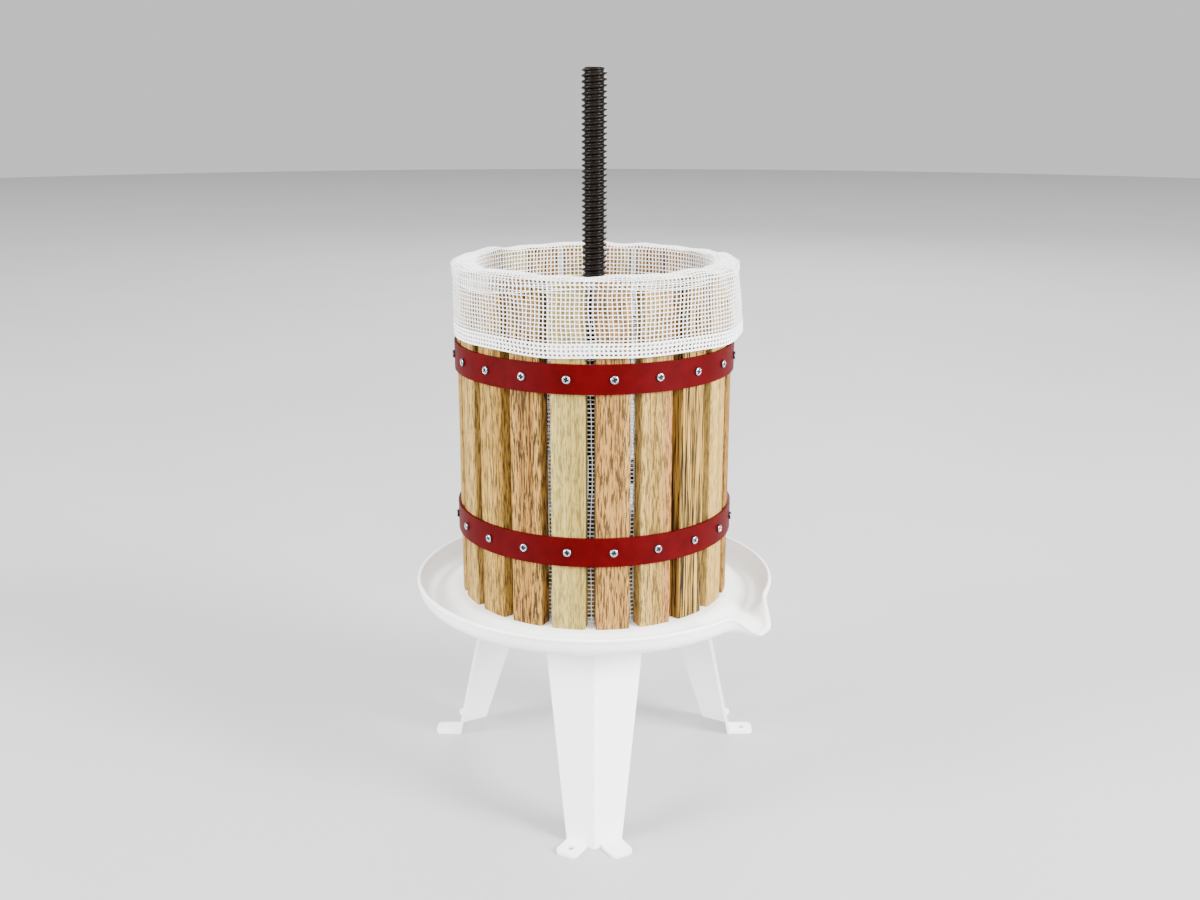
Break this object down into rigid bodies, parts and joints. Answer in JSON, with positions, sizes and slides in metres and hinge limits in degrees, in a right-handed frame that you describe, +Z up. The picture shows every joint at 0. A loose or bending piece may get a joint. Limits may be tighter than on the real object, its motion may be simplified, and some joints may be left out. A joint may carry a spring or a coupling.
{
  "type": "basket fruit press",
  "caption": "Basket fruit press: slatted oak basket with red steel hoops and a net bag, on a spouted white tray with splayed legs and a fixed central screw spindle.",
  "frame": {"origin": "on the floor, under the spindle's axis", "axes": "+Z up along the spindle, -Y towards the front leg"},
  "size_m": [0.33, 0.3387, 0.6525],
  "materials": {
    "white_coat": "smooth powder coat",
    "zinc": "bright zinc plating",
    "black_oxide": "oiled black oxide",
    "oak_pale": "planed, untreated",
    "oak_pink": "planed, untreated",
    "oak_gold": "planed, untreated",
    "oak_tan": "planed, untreated",
    "beech": "planed, untreated",
    "red_paint": "gloss enamel",
    "net": "open polyester net",
    "cast_iron": "as cast, faces turned",
    "black_plastic": "fine grained"
  },
  "bodies": {
    "stand": {"tray": "white_coat", "base_plate": "zinc", "leg_front": "white_coat", "leg_right": "white_coat", "leg_left": "white_coat", "leg_bolts": "zinc", "spindle": "black_oxide", "spindle_washer": "zinc", "spindle_lock_nut": "zinc", "press_bag": "net"},
    "basket": {"stave_01": "oak_pink", "stave_02": "oak_pink", "stave_03": "oak_gold", "stave_04": "oak_pale", "stave_05": "oak_tan", "stave_06": "oak_pink", "stave_07": "oak_pink", "stave_08": "oak_gold", "stave_09": "oak_pale", "stave_10": "oak_tan", "stave_11": "oak_pink", "stave_12": "oak_pink", "stave_13": "oak_gold", "stave_14": "oak_pale", "stave_15": "oak_tan", "stave_16": "oak_pink", "stave_17": "oak_pink", "stave_18": "oak_gold", "stave_19": "oak_tan", "stave_20": "oak_pale", "hoop_lower": "red_paint", "hoop_upper": "red_paint", "hoop_lower_screws": "zinc", "hoop_upper_screws": "zinc"},
    "plate": {"press_plate_left": "beech", "press_plate_right": "beech", "batten_front": "beech", "batten_back": "beech", "batten_screws": "zinc", "thrust_washer": "zinc"},
    "nut": {"press_nut": "cast_iron", "arm_left": "zinc", "arm_right": "zinc", "grip_left": "black_plastic", "grip_right": "black_plastic", "arm_set_screws": "black_oxide"}
  },
  "joints": [
    {"name": "basket_lift", "type": "slide", "parent": "stand", "child": "basket", "axis": [0, 0, 1], "range_m": [0, 0.47], "deforming": ["press_bag"]},
    {"name": "plate_slide", "type": "slide", "parent": "stand", "child": "plate", "axis": [0, 0, 1], "range_m": [0, 0.3701]},
    {"name": "nut_turn", "type": "hinge", "parent": "plate", "child": "nut", "pos_m": [0, 0, 0.2155], "axis": [0, 0, 1], "range_deg": [0, 26640]}
  ],
  "couplings": [
    {"joint": "plate_slide", "follows": "nut_turn", "m_per_rad": 0.00079577}
  ]
}
